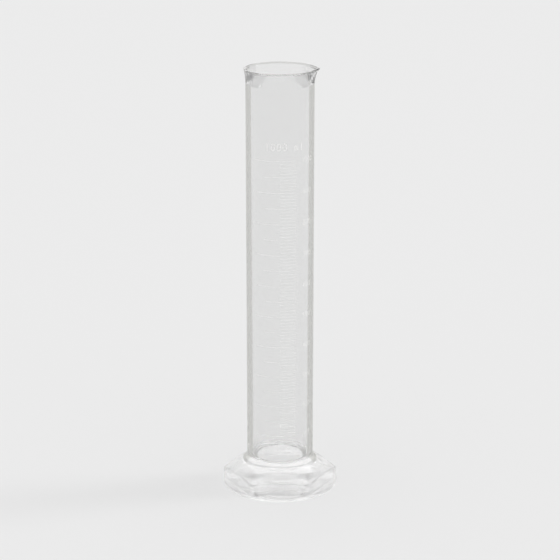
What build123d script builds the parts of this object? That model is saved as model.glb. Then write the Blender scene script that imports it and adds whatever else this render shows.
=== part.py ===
from build123d import *
import math
import os

# One-litre graduated measuring cylinder: a drawn glass tube with a closed bottom, a flared rim and a
# pouring spout, fused onto a pressed six-sided glass foot, with a fired enamel scale on the outside.
# +Z is up, the tube's axis is the Z axis, the foot stands on z = 0, and the spout points along +X.
# The scale faces -Y, turned a little towards the spout. All sizes are in millimetres.

# Glass tube
overall_height = 464.0
tube_radius = 36.25
bore_radius = 30.6
floor_height = 32.0          # inside bottom of the tube, above the table
floor_corner_radius = 5.0

# Flared rim and spout
flare_height = 16.0          # how far below the top the tube starts to open
rim_radius = 38.5
rim_wall = 3.4
spout_reach = 42.0           # from the axis to the tip of the spout
spout_half_angle = 25.8      # degrees from +X to where the rim leaves its circle
rim_edge_radius = 1.5
flare_power = 1.8            # how late the opening comes: 1 would be a plain cone
flare_shares = (0, 0.3, 0.6, 0.85, 1)      # where its sections lie, as shares of flare_height
least_spout = 0.02           # how far the spout stands out where the flare starts

# Pressed foot: a round base with a hexagonal block on it, whose top slopes up into the tube
base_radius = 63.0
base_height = 5.0            # the flats of the block stop here, which leaves a ledge in front of each
base_lower_rounding = 3.0
base_upper_rounding = 1.2
block_flat_radius = 54.5     # from the axis to the middle of each flat
block_corner_rounding = 5.0
block_edge_rounding = 2.0
root_height = 37.0           # where the foot's slope runs out into the tube's wall
slope_points = [(39.0, 30.4), (45.0, 23.6)]
slope_end = (66.0, 15.4)     # beyond the corners, where the flats cut the slope off
end_fall = 0.25              # how steeply the slope still falls there
weld_height = 28.0           # the tube is fused to the foot on this level
recess_radius = 47.0
recess_depth = 5.0

# Fired enamel scale
capacity_ml = 1000
lowest_mark_ml = 100
long_step_ml, middle_step_ml, short_step_ml = 100, 50, 10
enamel_thickness = 0.12
mark_height = 0.45
marks_end = 28.0             # degrees from -Y, towards +X
long_start, middle_start, short_start = -45.0, -28.0, 0.0
numeral_size = 5.5
glyph_width, stroke_width, glyph_gap = 0.56, 0.1, 0.22      # shares of a figure's height
numeral_angle = 51.5
capacity_size = 8.0
capacity_rise = 15.0         # from the top mark up to the middle of the capacity line
capacity_angle = 8.0

os.makedirs("parts", exist_ok=True)


# ---- Glass ----

def spout_outline(height, radius, reach):
    """A circle drawn out on its +X side to a rounded tip at reach, as a face at this height."""
    c, s = math.cos(math.radians(spout_half_angle)), math.sin(math.radians(spout_half_angle))
    tip = (radius - reach * c) / (1 - c)
    side, nose = Vector(radius * c, radius * s), Vector(reach - tip + tip * c, tip * s)
    low_side, low_nose = Vector(side.X, -side.Y), Vector(nose.X, -nose.Y)
    edges = [
        Edge.make_line(side, nose),
        Edge.make_three_point_arc(nose, Vector(reach, 0), low_nose),
        Edge.make_line(low_nose, low_side),
        Edge.make_three_point_arc(low_side, Vector(-radius, 0), side),
    ]
    return Pos(0, 0, height) * Face(Wire(edges))


def flare(start_radius, end_radius, end_reach):
    """The opening of the tube's mouth as a solid, from a circle at its foot to the spout at the top."""
    sections = []
    for share in flare_shares:
        spread = share ** flare_power
        radius = start_radius + (end_radius - start_radius) * spread
        reach = radius + least_spout + (end_reach - end_radius - least_spout) * spread
        sections.append(spout_outline(overall_height - flare_height * (1 - share), radius, reach))
    return loft(sections)


def column(radius, low, high):
    """A round solid on the tube's axis between two heights."""
    return Pos(0, 0, low) * Cylinder(radius, high - low, align=(Align.CENTER, Align.CENTER, Align.MIN))


def edges_round_the_top(block):
    """The edges between the block's flats and its sloping top."""
    found = []
    for edge in block.edges():
        points = [edge.position_at(share) for share in (0, 0.5, 1)]
        far_out = all(math.hypot(point.X, point.Y) > block_flat_radius - 1 for point in points)
        if far_out and all(point.Z > base_height + 1 for point in points):
            found.append(edge)
    return found


def foot_and_root():
    """The pressed foot in one with the flared root of the tube, as they are once fused."""
    slope = Spline((tube_radius, root_height), *slope_points, slope_end, tangents=[(0, -1), (1, -end_fall)])
    outline = Polyline(slope_end, (slope_end[0], 0), (0, 0), (0, root_height), (tube_radius, root_height))
    turned = revolve(Plane.XZ * make_face([slope, outline]), Axis.Z)
    flats = RegularPolygon(block_flat_radius, 6, major_radius=False)
    block = turned & extrude(fillet(flats.vertices(), block_corner_rounding), root_height)
    block = fillet(edges_round_the_top(block), block_edge_rounding)
    base = column(base_radius, 0, base_height)
    base = fillet(base.edges().group_by(Axis.Z)[-1], base_upper_rounding)
    base = fillet(base.edges().group_by(Axis.Z)[0], base_lower_rounding)
    dish_radius = (recess_radius ** 2 + recess_depth ** 2) / (2 * recess_depth)
    return block + base - Pos(0, 0, recess_depth - dish_radius) * Sphere(dish_radius)


def glass_tube(root):
    """The drawn tube with its closed bottom, its root, its flared rim and its spout."""
    flare_start = overall_height - flare_height
    bore = column(bore_radius, floor_height, flare_start)
    bore = fillet(bore.edges().group_by(Axis.Z)[0], floor_corner_radius)
    tube = root + column(tube_radius, weld_height, flare_start)
    tube += flare(tube_radius, rim_radius, spout_reach)
    tube -= bore + flare(bore_radius, rim_radius - rim_wall, spout_reach - rim_wall)
    return fillet(tube.edges().group_by(Axis.Z)[-1], rim_edge_radius)


# ---- Enamel scale ----

def level(volume_ml):
    """The height of this volume's surface: the bore holds less where its bottom corner is rounded."""
    bore_area = math.pi * bore_radius ** 2
    corner_area = (1 - math.pi / 4) * floor_corner_radius ** 2
    inset = (10 - 3 * math.pi) / (12 - 3 * math.pi)      # the corner's centroid, as a share of its radius
    corner_centre = bore_radius - inset * floor_corner_radius
    lost = corner_area * 2 * math.pi * corner_centre
    return floor_height + (volume_ml * 1000 + lost) / bore_area


def mark(volume_ml, start):
    """One line of the scale: a thin curved plate on the wall, from this angle to where all lines end."""
    section = Pos(tube_radius, level(volume_ml)) * Rectangle(
        enamel_thickness, mark_height, align=(Align.MIN, Align.CENTER))
    plate = revolve(Plane.XZ * section, Axis.Z, revolution_arc=marks_end - start)
    return Rot(0, 0, start - 90) * plate


def glyph(character):
    """One figure or letter drawn with an even stroke: one unit high and glyph_width wide."""
    w, t = glyph_width, stroke_width
    left, right, middle, top, foot_line = t / 2, w - t / 2, w / 2, 1 - t / 2, t / 2

    def bend(*points):
        return ThreePointArc(*points)

    def loop(centre, half_width, half_height):
        ring = Ellipse(half_width, half_height) - Ellipse(half_width - t, half_height - t)
        return Pos(*centre) * ring

    strokes = {
        "1": [Polyline((0.25 * w, 0.78), (middle, top), (middle, 0))],
        "2": [bend((left, 0.7), (middle, top), (right, 0.7)),
              Polyline((right, 0.7), (right - 0.04, 0.6), (left, foot_line), (w, foot_line))],
        "3": [bend((left, 0.78), (right, 0.76), (middle - 0.05, 0.53)),
              bend((middle - 0.05, 0.53), (right, 0.3), (left, 0.18))],
        "4": [Polyline((0.68 * w, 0), (0.68 * w, 1)), Polyline((0.68 * w, top), (left, 0.3)),
              Polyline((0, 0.3), (w, 0.3))],
        "5": [Polyline((right, top), (0.2 * w, top), (left, 0.55)),
              bend((left, 0.55), (right, 0.32), (left, 0.12))],
        "6": [bend((0.8 * w, top), (0.3 * w, 0.72), (left, 0.32))],
        "7": [Polyline((0, top), (right, top), (0.35 * w, 0))],
        "9": [bend((0.2 * w, foot_line), (0.7 * w, 0.28), (right, 0.68))],
        "m": [Polyline((left, 0), (left, 0.62)), Polyline((middle, 0), (middle, 0.5)),
              Polyline((right, 0), (right, 0.5)),
              bend((left, 0.48), ((left + middle) / 2, 0.62), (middle, 0.48)),
              bend((middle, 0.48), ((right + middle) / 2, 0.62), (right, 0.48))],
        "l": [Polyline((middle, 0), (middle, 1))],
    }
    loops = {
        "0": [loop((middle, 0.5), w / 2, 0.5)],
        "6": [loop((middle, 0.31), w / 2, 0.31)],
        "8": [loop((middle, 0.27), w / 2, 0.27), loop((middle, 0.76), 0.46 * w, 0.24)],
        "9": [loop((middle, 0.69), w / 2, 0.31)],
    }
    drawn = Sketch()
    for stroke in strokes.get(character, []):
        drawn += trace(stroke, t)
    for ring in loops.get(character, []):
        drawn += ring
    return drawn


def figures(text, size, angle, height):
    """Raised figures on the wall, centred on this angle from -Y towards +X and on this height."""
    azimuth = math.radians(angle - 90)
    outward = Vector(math.cos(azimuth), math.sin(azimuth))
    tangent = Vector(-math.sin(azimuth), math.cos(azimuth))
    cutting_plane = Plane(outward * bore_radius + Vector(0, 0, height), x_dir=tangent, z_dir=outward)
    skin = column(tube_radius + enamel_thickness, height - size, height + size)
    skin -= column(tube_radius, height - size, height + size)
    pitch = glyph_width + glyph_gap
    start = -(len(text) * pitch - glyph_gap) / 2
    solids = []
    for place, character in enumerate(text):
        if character != " ":
            drawn = Pos((start + place * pitch) * size, -size / 2) * scale(glyph(character), size)
            solids += (extrude(cutting_plane * drawn, tube_radius) & skin).solids()
    return solids


def scale_parts():
    """The scale's nodes: lines of three lengths, the figures beside them and the capacity above them."""
    lines = {"long_graduations": [], "middle_graduations": [], "short_graduations": []}
    numbers = []
    for volume in range(lowest_mark_ml, capacity_ml + 1, short_step_ml):
        if volume % long_step_ml == 0:
            lines["long_graduations"].append(mark(volume, long_start))
            numbers += figures(str(volume), numeral_size, numeral_angle, level(volume))
        elif volume % middle_step_ml == 0:
            lines["middle_graduations"].append(mark(volume, middle_start))
        else:
            lines["short_graduations"].append(mark(volume, short_start))
    title = figures(f"{capacity_ml} ml", capacity_size, capacity_angle, level(capacity_ml) + capacity_rise)
    return {**lines, "scale_numerals": numbers, "capacity_mark": title}


whole_foot = foot_and_root()
above_weld = column(2 * base_radius, weld_height, root_height)
parts = {
    "tube": glass_tube(whole_foot & above_weld),
    "foot": whole_foot - above_weld,
}
for name, solids in scale_parts().items():
    parts[name] = Compound(children=solids)

for name, shape in parts.items():
    export_step(shape, f"parts/{name}.step")
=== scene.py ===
import math
import bmesh
import bpy
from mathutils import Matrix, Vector


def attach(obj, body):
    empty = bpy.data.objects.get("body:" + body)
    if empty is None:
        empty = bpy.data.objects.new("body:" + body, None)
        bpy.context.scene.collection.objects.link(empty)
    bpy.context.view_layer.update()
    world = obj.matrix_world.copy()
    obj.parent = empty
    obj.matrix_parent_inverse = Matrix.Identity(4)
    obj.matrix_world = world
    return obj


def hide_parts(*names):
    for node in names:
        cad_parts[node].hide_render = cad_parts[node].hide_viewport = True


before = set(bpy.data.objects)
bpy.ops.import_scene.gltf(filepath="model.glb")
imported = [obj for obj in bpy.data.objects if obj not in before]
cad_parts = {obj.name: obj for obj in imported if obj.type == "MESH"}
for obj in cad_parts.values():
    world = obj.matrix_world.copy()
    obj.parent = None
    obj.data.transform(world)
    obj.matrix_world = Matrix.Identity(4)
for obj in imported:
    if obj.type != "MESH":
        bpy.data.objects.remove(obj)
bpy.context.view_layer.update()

# A one-litre measuring cylinder of clear glass: a drawn tube fused onto a pressed foot, with a fired enamel
# scale. +Z is up, the spout points along +X and the scale faces -Y. Sizes are in metres, as in the CAD.

# Tube
HEIGHT = 0.464
TUBE_R = 0.03625
BORE_R = 0.0306
FLOOR_Z = 0.032                     # inside bottom of the tube
FLOOR_CORNER = 0.005                # rounding between the inside bottom and the bore
ROOT_Z = 0.037                      # where the foot's slope runs out into the tube's wall
WELD_Z = 0.028                      # the tube is fused to the foot on this level

# Flared rim and spout
FLARE = 0.016                       # how far below the top the tube starts to open
FLARE_Z = HEIGHT - FLARE
FLARE_POWER = 1.8                   # how late the opening comes: 1 would be a plain cone
RIM_R = 0.0385
RIM_WALL = 0.0034
RIM_EDGE = 0.0015                   # rounding of the rim's two edges
RIM_EDGE_START = 12                 # degrees above the level at which each rounding starts
SPOUT = 0.042                       # from the axis to the tip of the spout
LEAST_SPOUT = 0.00002               # how far the spout stands out where the flare starts
SPOUT_HALF = math.radians(25.8)     # from +X to where the rim leaves its circle

# Foot: a round base with a hexagonal block on it, whose top slopes up into the tube
BASE_R = 0.063
BASE_H = 0.005
BASE_LOW_ROUND = 0.003
BASE_TOP_ROUND = 0.0012
BLOCK_FLAT_R = 0.0545               # from the axis to the middle of each flat
BLOCK_CORNER = 0.005
BLOCK_EDGE = 0.002
LEAST_LEDGE = 0.0004                # the base stands out at least this far in front of the block
LEDGE_SHARE = 0.45                  # how much of the ledge each of the roundings beside it may take
COVE = 0.0008                       # rounding in the corner between the ledge and the block
RECESS_R = 0.047
RECESS_D = 0.005
# The sloping top in section, from the tube's wall outwards: a smooth curve through these points
SLOPE_POINTS = [(TUBE_R, ROOT_Z), (0.039, 0.0304), (0.045, 0.0236), (0.066, 0.0154)]
SLOPE_LEAVES, SLOPE_ARRIVES = (0.0, -1.262), (1.4064, -0.3516)      # its direction and speed at both ends

SKIN = 0.00004                      # the visual glass stays this far inside the CAD box
TURN = 2 * math.pi

# How finely the glass is drawn: columns round the axis, and steps along each stretch of the section
AROUND = 360
ROOT_STEPS, WALL_STEPS, FLARE_STEPS, EDGE_STEPS, CORNER_STEPS, FLOOR_STEPS = 16, 12, 12, 6, 10, 6
DISH_STEPS, BASE_STEPS, LEDGE_STEPS, COVE_STEPS = 14, 8, 5, 4
SIDE_STEPS, SHOULDER_STEPS, SLOPE_STEPS = 6, 7, 18
ROOT_CROWDING = 1.6                 # how much closer the root's steps lie near the tube's wall
REPEATS = 30                        # rounds of each search for a value
MARGIN = 0.00002                    # allowed when a face's place is compared with a size

# Enamel scale
CAPACITY_ML = 1000
LOWEST_MARK_ML = 100
LONG_STEP_ML, MIDDLE_STEP_ML, SHORT_STEP_ML = 100, 50, 10
MARK_H = 0.00045
ENAMEL = 0.00012                    # thickness
ENAMEL_SEAT = 0.00002               # how far its underside stands off the glass
CROSSING_DROP = 0.000004            # each further stroke of a figure lies this much lower
MARKS_END = 28.0                    # degrees from -Y, towards +X
LONG_START, MIDDLE_START, SHORT_START = -45.0, -28.0, 0.0
MARK_STEP = 3                       # degrees of one straight piece of a line
NUMERAL_H, NUMERAL_ANGLE = 0.0055, 51.5
TITLE_H, TITLE_RISE, TITLE_ANGLE = 0.008, 0.015, 8.0
GLYPH_W, STROKE, GLYPH_GAP = 0.56, 0.1, 0.22        # shares of a figure's height
ARC_STEPS, LOOP_STEPS = 12, 28      # straight pieces of a figure's bends and closed loops

# The material slots, in the order in which the materials are added; the foot has only the first two
OUTSIDE, JOINT, BORE, CORNER, LIP, EDGE, FLOOR = range(7)


def link(name, bm, smooth=True):
    """Puts a mesh into the scene as an object of this name."""
    mesh = bpy.data.meshes.new(name)
    bm.to_mesh(mesh)
    bm.free()
    for face in mesh.polygons:
        face.use_smooth = smooth
    obj = bpy.data.objects.new(name, mesh)
    bpy.context.scene.collection.objects.link(obj)
    return obj


# ---------------------------------------------------------------- outlines
def teardrop(theta, radius, reach):
    """Polar radius of a circle drawn out along +X to a rounded tip."""
    c, s = math.cos(SPOUT_HALF), math.sin(SPOUT_HALF)
    tip = (radius - reach * c) / (1 - c)
    from_x = abs((theta + math.pi) % TURN - math.pi)
    if from_x >= SPOUT_HALF:
        return radius
    centre = reach - tip
    nose = math.atan2(tip * s, centre + tip * c)
    if from_x <= nose:
        middle = centre * math.cos(from_x)
        return middle + math.sqrt(max(0.0, middle * middle - centre * centre + tip * tip))
    return radius / math.cos(SPOUT_HALF - from_x)


def mouth_radius(theta, share, start, end, reach):
    """Polar radius of the flare: share runs from 0 where the tube starts to open to 1 at the top."""
    spread = share ** FLARE_POWER
    radius = start + (end - start) * spread
    return teardrop(theta, radius, radius + LEAST_SPOUT + (reach - end - LEAST_SPOUT) * spread)


def outer_mouth(theta, share):
    """Polar radius of the flare's outside."""
    return mouth_radius(theta, share, TUBE_R, RIM_R, SPOUT)


def inner_mouth(theta, share):
    """Polar radius of the flare's inside."""
    return mouth_radius(theta, share, BORE_R, RIM_R - RIM_WALL, SPOUT - RIM_WALL)


def hexagon(theta, flat_radius, rounding):
    """Polar radius of a hexagon with rounded corners and a flat across -Y."""
    half = math.pi / 6
    from_flat = (theta % (2 * half)) - half
    corner = (flat_radius - rounding) / math.cos(half)
    if abs(from_flat) > math.atan2(corner * math.sin(half), flat_radius):
        phi = half - abs(from_flat)
        return corner * math.cos(phi) + math.sqrt(max(0.0, rounding ** 2 - (corner * math.sin(phi)) ** 2))
    return flat_radius / math.cos(from_flat)


def spline_directions(points, chords, first, last):
    """The direction of a smooth curve at each of its points, found by evening out its bend there."""
    found = [first] + [(0.0, 0.0)] * (len(points) - 2) + [last]
    for _ in range(REPEATS):
        for i in range(1, len(points) - 1):
            back, ahead = chords[i - 1], chords[i]
            found[i] = tuple(
                (3 * (ahead * (p - before) / back + back * (after - p) / ahead) - ahead * d0 - back * d1)
                / (2 * (back + ahead))
                for before, p, after, d0, d1 in zip(points[i - 1], points[i], points[i + 1],
                                                    found[i - 1], found[i + 1]))
    return found


CHORDS = [math.dist(a, b) for a, b in zip(SLOPE_POINTS, SLOPE_POINTS[1:])]
DIRECTIONS = spline_directions(SLOPE_POINTS, CHORDS, SLOPE_LEAVES, SLOPE_ARRIVES)


def slope_point(piece, u):
    """A point of the foot's top, as radius and height: u runs from 0 to 1 along one piece of its curve."""
    h = CHORDS[piece]
    return tuple((2 * u ** 3 - 3 * u ** 2 + 1) * a + (u ** 3 - 2 * u ** 2 + u) * h * da
                 + (3 * u ** 2 - 2 * u ** 3) * b + (u ** 3 - u ** 2) * h * db
                 for a, b, da, db in zip(SLOPE_POINTS[piece], SLOPE_POINTS[piece + 1],
                                         DIRECTIONS[piece], DIRECTIONS[piece + 1]))


def slope_height(r):
    """The height of the foot's top at this distance from the axis."""
    piece = max(i for i in range(len(CHORDS)) if r >= SLOPE_POINTS[i][0] or i == 0)
    low, high = 0.0, 1.0
    for _ in range(REPEATS):
        middle = (low + high) / 2
        low, high = (middle, high) if slope_point(piece, middle)[0] < r else (low, middle)
    return slope_point(piece, low)[1]


def radius_at(height):
    """Where the foot's top passes this height."""
    low, high = TUBE_R, BLOCK_FLAT_R
    for _ in range(REPEATS):
        middle = (low + high) / 2
        low, high = (middle, high) if slope_height(middle) > height else (low, middle)
    return low


WELD_R = radius_at(WELD_Z)


def straight(start, end, steps):
    """Points from start to end, both included."""
    return [(start[0] + (end[0] - start[0]) * i / steps, start[1] + (end[1] - start[1]) * i / steps)
            for i in range(steps + 1)]


def bend(start, corner, end, steps):
    """A curve from start to end that rounds off the corner between them."""
    shares = [i / steps for i in range(steps + 1)]
    return [tuple((1 - u) ** 2 * a + 2 * u * (1 - u) * b + u * u * c for a, b, c in zip(start, corner, end))
            for u in shares]


def arc(centre, radius, start, end, steps):
    """Points on a circle between two angles in degrees."""
    angles = [math.radians(start + (end - start) * i / steps) for i in range(steps + 1)]
    return [(centre[0] + radius * math.cos(a), centre[1] + radius * math.sin(a)) for a in angles]


# ---------------------------------------------------------------- glass meshes
def tube_profile(theta):
    """From the weld up the outside, over the rim and down the bore to the inside bottom."""
    top = HEIGHT - SKIN
    outer, inner = outer_mouth(theta, 1) - SKIN, inner_mouth(theta, 1)
    low_bore = FLOOR_Z + FLOOR_CORNER
    floor_r = BORE_R - FLOOR_CORNER
    root = [TUBE_R + (WELD_R - TUBE_R) * (1 - i / ROOT_STEPS) ** ROOT_CROWDING for i in range(ROOT_STEPS)]
    flare = [i / FLARE_STEPS * (FLARE - RIM_EDGE) / FLARE for i in range(1, FLARE_STEPS + 1)]
    points = [(r, slope_height(r)) for r in root]
    points += straight((TUBE_R, ROOT_Z), (TUBE_R, FLARE_Z), WALL_STEPS)
    points += [(outer_mouth(theta, share), FLARE_Z + FLARE * share) for share in flare]
    points += arc((outer - RIM_EDGE, top - RIM_EDGE), RIM_EDGE, RIM_EDGE_START, 90, EDGE_STEPS)
    points += arc((inner + RIM_EDGE, top - RIM_EDGE), RIM_EDGE, 90, 180 - RIM_EDGE_START, EDGE_STEPS)
    points += [(inner_mouth(theta, share), FLARE_Z + FLARE * share) for share in reversed(flare)]
    points += straight((BORE_R, FLARE_Z), (BORE_R, low_bore), WALL_STEPS)
    points += arc((floor_r, low_bore), FLOOR_CORNER, 0, -90, CORNER_STEPS)[1:]
    return points + straight((floor_r, FLOOR_Z), (0, FLOOR_Z), FLOOR_STEPS)[1:-1]


def foot_profile(theta):
    """From the dished underside round the base, up the block and along the slope to the weld."""
    edge = BASE_R - SKIN
    side = min(hexagon(theta, BLOCK_FLAT_R, BLOCK_CORNER), edge - LEAST_LEDGE)
    room = (edge - side) * LEDGE_SHARE
    cove = min(COVE, room)
    top = slope_height(side)
    shoulder = side - BLOCK_EDGE
    dish = [i / DISH_STEPS for i in range(1, DISH_STEPS + 1)]
    points = [(RECESS_R * share, SKIN + (RECESS_D - SKIN) * (1 - share ** 2)) for share in dish]
    points += bend((edge - BASE_LOW_ROUND, SKIN), (edge, SKIN), (edge, BASE_LOW_ROUND), BASE_STEPS)
    points += bend((edge, BASE_H - BASE_TOP_ROUND), (edge, BASE_H),
                   (edge - min(BASE_TOP_ROUND, room), BASE_H), LEDGE_STEPS)
    points += bend((side + cove, BASE_H), (side, BASE_H), (side, BASE_H + cove), COVE_STEPS)
    points += straight((side, BASE_H + cove), (side, top - BLOCK_EDGE), SIDE_STEPS)[1:-1]
    points += bend((side, top - BLOCK_EDGE), (side, top), (shoulder, slope_height(shoulder)), SHOULDER_STEPS)
    slope = [shoulder + (WELD_R - shoulder) * i / SLOPE_STEPS for i in range(1, SLOPE_STEPS + 1)]
    return points + [(r, slope_height(r)) for r in slope]


def tube_slot(face):
    """Which of the tube's materials a face takes, by where it lies."""
    centre = face.calc_center_median()
    if centre.z > FLARE_Z:
        return EDGE if centre.z > HEIGHT - RIM_EDGE else LIP
    faces_out = face.normal.x * centre.x + face.normal.y * centre.y >= 0
    if faces_out and math.hypot(centre.x, centre.y) >= BORE_R - MARGIN:
        return OUTSIDE
    if centre.z < FLOOR_Z + MARGIN:
        return FLOOR
    return CORNER if centre.z < FLOOR_Z + FLOOR_CORNER else BORE


def foot_slot(face):
    """The foot has one kind of glass."""
    return OUTSIDE


def lathe(name, profile, first_height, last_height, weld_first, slot):
    """Turns a polar profile into a closed mesh, whose ends run to the axis at these two heights."""
    bm = bmesh.new()
    angles = [TURN * j / AROUND for j in range(AROUND)]
    columns = [profile(theta) for theta in angles]
    rings = []
    for ring in zip(*columns):
        rings.append([bm.verts.new((r * math.cos(theta), r * math.sin(theta), z))
                      for theta, (r, z) in zip(angles, ring)])
    for low, high in zip(rings, rings[1:]):
        for j in range(AROUND):
            k = (j + 1) % AROUND
            bm.faces.new((low[j], low[k], high[k], high[j]))
    first, last = bm.verts.new((0, 0, first_height)), bm.verts.new((0, 0, last_height))
    for j in range(AROUND):
        k = (j + 1) % AROUND
        start_face = bm.faces.new((first, rings[0][k], rings[0][j]))
        end_face = bm.faces.new((last, rings[-1][j], rings[-1][k]))
        (start_face if weld_first else end_face).material_index = JOINT
    bmesh.ops.recalc_face_normals(bm, faces=bm.faces)
    for edge in bm.edges:
        if len({face.material_index for face in edge.link_faces}) > 1:
            edge.smooth = False
    for face in bm.faces:
        if face.material_index != JOINT:
            face.material_index = slot(face)
    return link(name, bm)


tube = lathe("glass_tube", tube_profile, WELD_Z, FLOOR_Z, True, tube_slot)
foot = lathe("glass_foot", foot_profile, RECESS_D, WELD_Z, False, foot_slot)


# ---------------------------------------------------------------- enamel
def level(volume):
    """The height of this volume's surface: the bore holds less where its bottom corner is rounded."""
    inset = (10 - 3 * math.pi) / (12 - 3 * math.pi)     # the corner's centroid, as a share of its radius
    lost = (1 - math.pi / 4) * FLOOR_CORNER ** 2 * TURN * (BORE_R - inset * FLOOR_CORNER)
    return FLOOR_Z + (volume * 1e-6 + lost) / (math.pi * BORE_R ** 2)


def on_wall(angle, z, lift):
    """A point above the tube's outside, at this angle in degrees from -Y towards +X."""
    azimuth = math.radians(angle - 90)
    r = TUBE_R + lift
    return (r * math.cos(azimuth), r * math.sin(azimuth), z)


def add_plate(bm, low_row, high_row, thickness):
    """A curved strip between two rows of (angle, height) points, as a thin closed plate."""
    inner_low, inner_high, outer_low, outer_high = (
        [bm.verts.new(on_wall(angle, z, lift)) for angle, z in row]
        for lift in (ENAMEL_SEAT, thickness) for row in (low_row, high_row))
    bonded = []
    for i in range(len(low_row) - 1):
        k = i + 1
        bm.faces.new((outer_low[i], outer_low[k], outer_high[k], outer_high[i]))
        bonded.append(bm.faces.new((inner_low[k], inner_low[i], inner_high[i], inner_high[k])))
        bonded.append(bm.faces.new((outer_low[k], outer_low[i], inner_low[i], inner_low[k])))
        bonded.append(bm.faces.new((outer_high[i], outer_high[k], inner_high[k], inner_high[i])))
    bonded.append(bm.faces.new((outer_low[0], outer_high[0], inner_high[0], inner_low[0])))
    bonded.append(bm.faces.new((outer_low[-1], inner_low[-1], inner_high[-1], outer_high[-1])))
    for face in bonded:
        face.material_index = JOINT


def marks(name, start, volumes):
    """The scale's lines at these volumes, from their start to the angle where all lines end."""
    bm = bmesh.new()
    steps = round((MARKS_END - start) / MARK_STEP)
    for volume in volumes:
        low, high = level(volume) - MARK_H / 2, level(volume) + MARK_H / 2
        add_plate(bm, straight((start, low), (MARKS_END, low), steps),
                  straight((start, high), (MARKS_END, high), steps), ENAMEL)
    bmesh.ops.recalc_face_normals(bm, faces=bm.faces)
    return link(name, bm, smooth=False)


volumes = range(LOWEST_MARK_ML, CAPACITY_ML + 1, SHORT_STEP_ML)
long_volumes = [volume for volume in volumes if volume % LONG_STEP_ML == 0]
middle_volumes = [volume for volume in volumes if volume % LONG_STEP_ML == MIDDLE_STEP_ML]
short_volumes = [volume for volume in volumes if volume % MIDDLE_STEP_ML]
long_marks = marks("enamel_long_marks", LONG_START, long_volumes)
middle_marks = marks("enamel_middle_marks", MIDDLE_START, middle_volumes)
short_marks = marks("enamel_short_marks", SHORT_START, short_volumes)


def arc_through(a, b, c):
    """Points on the circle through a, b and c, from a to c."""
    (ax, ay), (bx, by), (cx, cy) = a, b, c
    a2, b2, c2 = ax * ax + ay * ay, bx * bx + by * by, cx * cx + cy * cy
    d = 2 * (ax * (by - cy) + bx * (cy - ay) + cx * (ay - by))
    x0 = (a2 * (by - cy) + b2 * (cy - ay) + c2 * (ay - by)) / d
    y0 = (a2 * (cx - bx) + b2 * (ax - cx) + c2 * (bx - ax)) / d
    t0, t1, t2 = (math.atan2(y - y0, x - x0) for x, y in (a, b, c))
    anticlockwise = (t1 - t0) % TURN < (t2 - t0) % TURN
    sweep = (t2 - t0) % TURN if anticlockwise else -((t0 - t2) % TURN)
    start = math.degrees(t0)
    return arc((x0, y0), math.hypot(ax - x0, ay - y0), start, start + math.degrees(sweep), ARC_STEPS)


def glyph_paths():
    """The centre lines of each character's strokes: one unit high and GLYPH_W wide."""
    w, half = GLYPH_W, STROKE / 2
    left, right, middle, top, low = half, w - half, w / 2, 1 - half, half

    def loop(height, half_width, half_height):
        angles = [TURN * i / LOOP_STEPS for i in range(LOOP_STEPS + 1)]
        return [(middle + (half_width - half) * math.cos(a), height + (half_height - half) * math.sin(a))
                for a in angles]

    return {
        "0": [loop(0.5, w / 2, 0.5)],
        "1": [[(0.25 * w, 0.78), (middle, top), (middle, 0)]],
        "2": [arc_through((left, 0.7), (middle, top), (right, 0.7)),
              [(right, 0.7), (right - 0.04, 0.6), (left, low), (w, low)]],
        "3": [arc_through((left, 0.78), (right, 0.76), (middle - 0.05, 0.53)),
              arc_through((middle - 0.05, 0.53), (right, 0.3), (left, 0.18))],
        "4": [[(0.68 * w, 0), (0.68 * w, 1)], [(0.68 * w, top), (left, 0.3)], [(0, 0.3), (w, 0.3)]],
        "5": [[(right, top), (0.2 * w, top), (left, 0.55)],
              arc_through((left, 0.55), (right, 0.32), (left, 0.12))],
        "6": [arc_through((0.8 * w, top), (0.3 * w, 0.72), (left, 0.32)), loop(0.31, w / 2, 0.31)],
        "7": [[(0, top), (right, top), (0.35 * w, 0)]],
        "8": [loop(0.27, w / 2, 0.27), loop(0.76, 0.46 * w, 0.24)],
        "9": [arc_through((0.2 * w, low), (0.7 * w, 0.28), (right, 0.68)), loop(0.69, w / 2, 0.31)],
        "m": [[(left, 0), (left, 0.62)], [(middle, 0), (middle, 0.5)], [(right, 0), (right, 0.5)],
              arc_through((left, 0.48), ((left + middle) / 2, 0.62), (middle, 0.48)),
              arc_through((middle, 0.48), ((right + middle) / 2, 0.62), (right, 0.48))],
        "l": [[(middle, 0), (middle, 1)]],
    }


PATHS = glyph_paths()


def sides(points):
    """The two rows of points half a stroke to the left and to the right of a path."""
    left, right = [], []
    closed = points[0] == points[-1]
    for i, (x, y) in enumerate(points):
        before, after = points[max(0, i - 1)], points[min(len(points) - 1, i + 1)]
        if closed and i in (0, len(points) - 1):
            before, after = points[-2], points[1]
        dx, dy = after[0] - before[0], after[1] - before[1]
        half = STROKE / 2 / math.hypot(dx, dy)
        left.append((x - dy * half, y + dx * half))
        right.append((x + dy * half, y - dx * half))
    return left, right


def write(bm, text, height, angle, z):
    """Figures drawn as narrow strips on the wall, centred on this angle and height."""
    pitch = GLYPH_W + GLYPH_GAP
    start = -(len(text) * pitch - GLYPH_GAP) / 2
    degrees_per_unit = math.degrees(height / TUBE_R)
    for place, character in enumerate(text):
        for number, path in enumerate(PATHS.get(character, [])):
            centred = [(start + place * pitch + x, y - 0.5) for x, y in path]
            left, right = ([(angle + x * degrees_per_unit, z + y * height) for x, y in side]
                           for side in sides(centred))
            add_plate(bm, right, left, ENAMEL - CROSSING_DROP * number)


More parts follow.
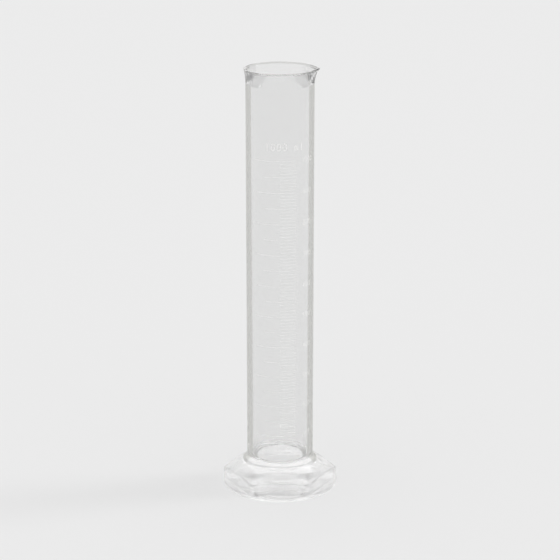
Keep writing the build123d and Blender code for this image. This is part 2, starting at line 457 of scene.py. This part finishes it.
def lettering(name, texts, height, angle):
    """One piece with each of these texts at its own height."""
    bm = bmesh.new()
    for text, z in texts:
        write(bm, text, height, angle, z)
    bmesh.ops.recalc_face_normals(bm, faces=bm.faces)
    return link(name, bm, smooth=False)


volume_texts = [(str(volume), level(volume)) for volume in long_volumes]
numerals = lettering("enamel_numerals", volume_texts, NUMERAL_H, NUMERAL_ANGLE)
capacity_text = (f"{CAPACITY_ML} ml", level(CAPACITY_ML) + TITLE_RISE)
title = lettering("enamel_capacity", [capacity_text], TITLE_H, TITLE_ANGLE)


# ---------------------------------------------------------------- materials
# How uneven a surface is: the waves' stretch along each axis and their fineness, strength and depth
DRAWN = {"stretch": (1.0, 1.0, 0.12), "fineness": 14.0, "strength": 0.005, "depth": 0.0001}
BORED = {**DRAWN, "strength": 0.0}
PRESSED = {"stretch": (1.0, 1.0, 1.0), "fineness": 40.0, "strength": 0.04, "depth": 0.0003}
PRESSED_INSIDE = {**PRESSED, "strength": 0.02, "depth": 0.0002}
FIRE_POLISHED = {"stretch": (1.0, 1.0, 1.0), "fineness": 30.0, "strength": 0.01, "depth": 0.0001}
FIRE_POLISHED_EDGE = {**FIRE_POLISHED, "strength": 0.002}

WALL_TINT = (0.936, 0.936, 0.935)
LAMP_PASS = 0.90                    # how much of the lamps' and the room's light the tube lets through


def new_material(name):
    """An empty material, its node tree and its output node."""
    material = bpy.data.materials.new(name)
    material.use_nodes = True
    tree = material.node_tree
    tree.nodes.clear()
    return material, tree, tree.nodes.new("ShaderNodeOutputMaterial")


def colour_ramp(tree, factor, stops):
    """A colour ramp with these (position, colour) stops."""
    ramp = tree.nodes.new("ShaderNodeValToRGB")
    elements = ramp.color_ramp.elements
    while len(elements) < len(stops):
        elements.new(1.0)
    for element, (position, colour) in zip(elements, stops):
        element.position = position
        element.color = (*colour, 1)
    tree.links.new(factor, ramp.inputs["Fac"])
    return ramp.outputs["Color"]


def transparent(tree, share):
    """A surface that lets this share of the light straight through."""
    clear = tree.nodes.new("ShaderNodeBsdfTransparent")
    clear.inputs["Color"].default_value = (share, share, share, 1)
    return clear


def mixed(tree, first, second):
    """A mix of two surfaces, whose Fac is still to be set."""
    mix = tree.nodes.new("ShaderNodeMixShader")
    tree.links.new(first.outputs[0], mix.inputs[1])
    tree.links.new(second.outputs[0], mix.inputs[2])
    return mix


def add_relief(tree, body, height, strength, depth):
    """Makes a surface as uneven as this height pattern says."""
    relief = tree.nodes.new("ShaderNodeBump")
    relief.inputs["Strength"].default_value = strength
    relief.inputs["Distance"].default_value = depth
    tree.links.new(height, relief.inputs["Height"])
    tree.links.new(relief.outputs["Normal"], body.inputs["Normal"])


def glass(name, tint_and_painted_shade, surface, lamp_pass=LAMP_PASS, clear_share=0.0, clear_tint=0.995):
    """Clear glass: the first colour is its tint face on; the darker colours towards where the line of sight
    grazes the surface are painted shade.

    A part of it, clear_share, doesn't bend what is behind it and only tints it by clear_tint.
    """
    material, tree, out = new_material(name)
    body = tree.nodes.new("ShaderNodeBsdfPrincipled")
    body.inputs["Transmission Weight"].default_value = 1.0
    body.inputs["IOR"].default_value = 1.5
    body.inputs["Roughness"].default_value = 0.0
    facing = tree.nodes.new("ShaderNodeLayerWeight")
    facing.inputs["Blend"].default_value = 0.5
    # a drawn or pressed surface is never quite even
    place = tree.nodes.new("ShaderNodeTexCoord")
    stretch = tree.nodes.new("ShaderNodeMapping")
    stretch.inputs["Scale"].default_value = surface["stretch"]
    tree.links.new(place.outputs["Object"], stretch.inputs["Vector"])
    waves = tree.nodes.new("ShaderNodeTexNoise")
    waves.inputs["Scale"].default_value = surface["fineness"]
    waves.inputs["Detail"].default_value = 2.0
    tree.links.new(stretch.outputs["Vector"], waves.inputs["Vector"])
    add_relief(tree, body, waves.outputs["Fac"], surface["strength"], surface["depth"])
    # the tint drifts a little with the same waves
    drift = tree.nodes.new("ShaderNodeMix")
    drift.data_type = "RGBA"
    drift.blend_type = "MULTIPLY"
    drift.inputs["Factor"].default_value = 1.0
    # painted shade: the facing ramp darkens the glass where the line of sight grazes it
    tree.links.new(colour_ramp(tree, facing.outputs["Facing"], tint_and_painted_shade), drift.inputs["A"])
    shades = [(0.3, (0.985, 0.986, 0.985)), (0.7, (1.0, 1.0, 1.0))]
    tree.links.new(colour_ramp(tree, waves.outputs["Fac"], shades), drift.inputs["B"])
    tree.links.new(drift.outputs["Result"], body.inputs["Base Color"])
    last = body
    if clear_share:
        last = mixed(tree, last, transparent(tree, clear_tint))
        last.inputs["Fac"].default_value = clear_share
    # light from the lamps and from the room goes straight through to what stands behind
    ray = tree.nodes.new("ShaderNodeLightPath")
    for kind in ("Is Diffuse Ray", "Is Shadow Ray"):
        last = mixed(tree, last, transparent(tree, lamp_pass))
        tree.links.new(ray.outputs[kind], last.inputs["Fac"])
    tree.links.new(last.outputs[0], out.inputs["Surface"])
    return material


def fused_joint():
    """The joint inside the glass and the bonded sides of the enamel, which nothing shows."""
    material, tree, out = new_material("fused_joint")
    tree.links.new(transparent(tree, 1.0).outputs[0], out.inputs["Surface"])
    return material


def fired_enamel():
    """White enamel with a fine grain, rubbed thin: nearly half of what is behind it shows through."""
    material, tree, out = new_material("fired_enamel")
    body = tree.nodes.new("ShaderNodeBsdfPrincipled")
    body.inputs["Roughness"].default_value = 0.45
    place = tree.nodes.new("ShaderNodeTexCoord")
    grain = tree.nodes.new("ShaderNodeTexNoise")
    grain.inputs["Scale"].default_value = 900.0
    grain.inputs["Detail"].default_value = 3.0
    tree.links.new(place.outputs["Object"], grain.inputs["Vector"])
    whites = [(0.35, (0.90, 0.90, 0.88)), (0.6, (0.97, 0.97, 0.95))]
    tree.links.new(colour_ramp(tree, grain.outputs["Fac"], whites), body.inputs["Base Color"])
    add_relief(tree, body, grain.outputs["Fac"], 0.1, 0.00005)
    mix = mixed(tree, body, transparent(tree, 1.0))
    mix.inputs["Fac"].default_value = 0.45
    tree.links.new(mix.outputs[0], out.inputs["Surface"])
    return material


joint = fused_joint()
enamel = fired_enamel()
# in the order of the tube's slots
tube_materials = [
    # painted shade: the outside goes dark grey where seen aslant, drawing the dark bands down the tube's
    # sides
    glass("drawn_glass", [(0.44, WALL_TINT), (0.49, (0.50, 0.50, 0.47)), (0.85, (0.30, 0.30, 0.27))], DRAWN),
    joint,
    glass("drawn_glass_bore", [(0.40, WALL_TINT), (0.62, WALL_TINT)], BORED),
    # painted shade: the inside bottom corner turns dark grey where seen aslant, a dark arc round the inner
    # floor
    glass("drawn_glass_corner", [(0.42, (0.95, 0.95, 0.95)), (0.58, (0.34, 0.34, 0.32))], BORED),
    # painted shade: the flare darkens to 0.80 grey where seen aslant
    glass("fire_polished_lip", [(0.50, WALL_TINT), (0.95, (0.80, 0.80, 0.77))], FIRE_POLISHED,
          clear_share=0.18, clear_tint=0.967),
    # painted shade: the rim's rounded top is dark grey even face on
    glass("fire_polished_edge_painted_shade", [(0.40, (0.66, 0.66, 0.64)), (0.70, (0.59, 0.59, 0.57))], FIRE_POLISHED_EDGE),
    # painted light: the inner floor is left untinted, so it shows lighter than the walls of the same glass;
    # it dims faintly where seen aslant
    glass("drawn_glass_floor", [(0.40, (1.0, 1.0, 1.0)), (0.75, (0.99, 0.99, 0.99))], PRESSED_INSIDE,
          lamp_pass=0.97),
]
foot_materials = [
    # painted shade, faint: the foot's glass dims a little where seen aslant
    glass("pressed_glass", [(0.40, (1.0, 1.0, 1.0)), (0.75, (0.985, 0.99, 0.98))], PRESSED,
          lamp_pass=1.0, clear_share=0.45),
    joint,
]

stands_for = [
    (tube, tube_materials, "tube_glass", "tube"),
    (foot, foot_materials, "foot_glass", "foot"),
    (long_marks, [enamel, joint], "enamel", "long_graduations"),
    (middle_marks, [enamel, joint], "enamel", "middle_graduations"),
    (short_marks, [enamel, joint], "enamel", "short_graduations"),
    (numerals, [enamel, joint], "enamel", "scale_numerals"),
    (title, [enamel, joint], "enamel", "capacity_mark"),
]
for piece, materials, slot, node in stands_for:
    for material in materials:
        piece.data.materials.append(material)
    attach(piece, "root")
    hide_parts(node)

# ---------------------------------------------------------------- room, light and camera
FLOOR_SIZE = 30                     # half the width of the floor
FLOOR_GREY = 0.83
SKY_AT_WALLS, SKY_OVERHEAD = 1.20, 0.66
LAMP_AZIMUTH, LAMP_HEIGHT = math.radians(12), math.radians(38)
LENS_MM = 118.7357                  # for a sensor 36 mm wide
CAMERA_DISTANCE, CAMERA_TILT, TARGET_Z = 1.99, math.radians(17), 0.233
LIGHT_BOUNCES = 24

bm = bmesh.new()
bmesh.ops.create_grid(bm, x_segments=1, y_segments=1, size=FLOOR_SIZE)
floor = link("floor", bm, smooth=False)
floor_material, tree, out = new_material("floor_paper")
paper = tree.nodes.new("ShaderNodeBsdfPrincipled")
paper.inputs["Base Color"].default_value = (FLOOR_GREY, FLOOR_GREY, FLOOR_GREY, 1)
paper.inputs["Roughness"].default_value = 1.0
paper.inputs["Specular IOR Level"].default_value = 0.0
tree.links.new(paper.outputs[0], out.inputs["Surface"])
floor.data.materials.append(floor_material)

# a soft even room, brighter round its walls than overhead
world = bpy.data.worlds.new("studio")
bpy.context.scene.world = world
world.use_nodes = True
tree = world.node_tree
direction = tree.nodes.new("ShaderNodeTexCoord")
parts = tree.nodes.new("ShaderNodeSeparateXYZ")
tree.links.new(direction.outputs["Generated"], parts.inputs["Vector"])
sky = colour_ramp(tree, parts.outputs["Z"], [(0.0, (SKY_AT_WALLS,) * 3), (1.0, (SKY_OVERHEAD,) * 3)])
tree.links.new(sky, tree.nodes["Background"].inputs["Color"])


def lamp(name, energy, width, mirrored):
    """A round soft light, width degrees across, high on the right and a little behind the cylinder."""
    light = bpy.data.lights.new(name, "SUN")
    light.energy = energy
    light.angle = math.radians(width)
    holder = bpy.data.objects.new(name, light)
    bpy.context.scene.collection.objects.link(holder)
    holder.visible_transmission = False      # its light passes the glass as a soft shadow, not as caustics
    holder.visible_glossy = mirrored
    towards = Vector((math.cos(LAMP_HEIGHT) * math.cos(LAMP_AZIMUTH),
                      math.cos(LAMP_HEIGHT) * math.sin(LAMP_AZIMUTH), math.sin(LAMP_HEIGHT)))
    holder.rotation_euler = towards.to_track_quat("Z", "Y").to_euler()


lamp("key", energy=0.70, width=14, mirrored=False)
lamp("window", energy=0.15, width=20, mirrored=True)

camera = bpy.data.cameras.new("camera")
camera.sensor_width = 36.0
camera.lens = LENS_MM
camera.clip_end = 200.0
view = bpy.data.objects.new("camera", camera)
bpy.context.scene.collection.objects.link(view)
view.location = (0, -CAMERA_DISTANCE * math.cos(CAMERA_TILT),
                 TARGET_Z + CAMERA_DISTANCE * math.sin(CAMERA_TILT))
view.rotation_euler = (math.radians(90) - CAMERA_TILT, 0, 0)
bpy.context.scene.camera = view
bpy.context.scene.view_settings.view_transform = "Standard"
# thick glass throws light about inside it many times; with the usual limits the foot turns black
paths = bpy.context.scene.cycles
paths.max_bounces = LIGHT_BOUNCES
paths.glossy_bounces = LIGHT_BOUNCES
paths.transmission_bounces = LIGHT_BOUNCES
paths.transparent_max_bounces = LIGHT_BOUNCES
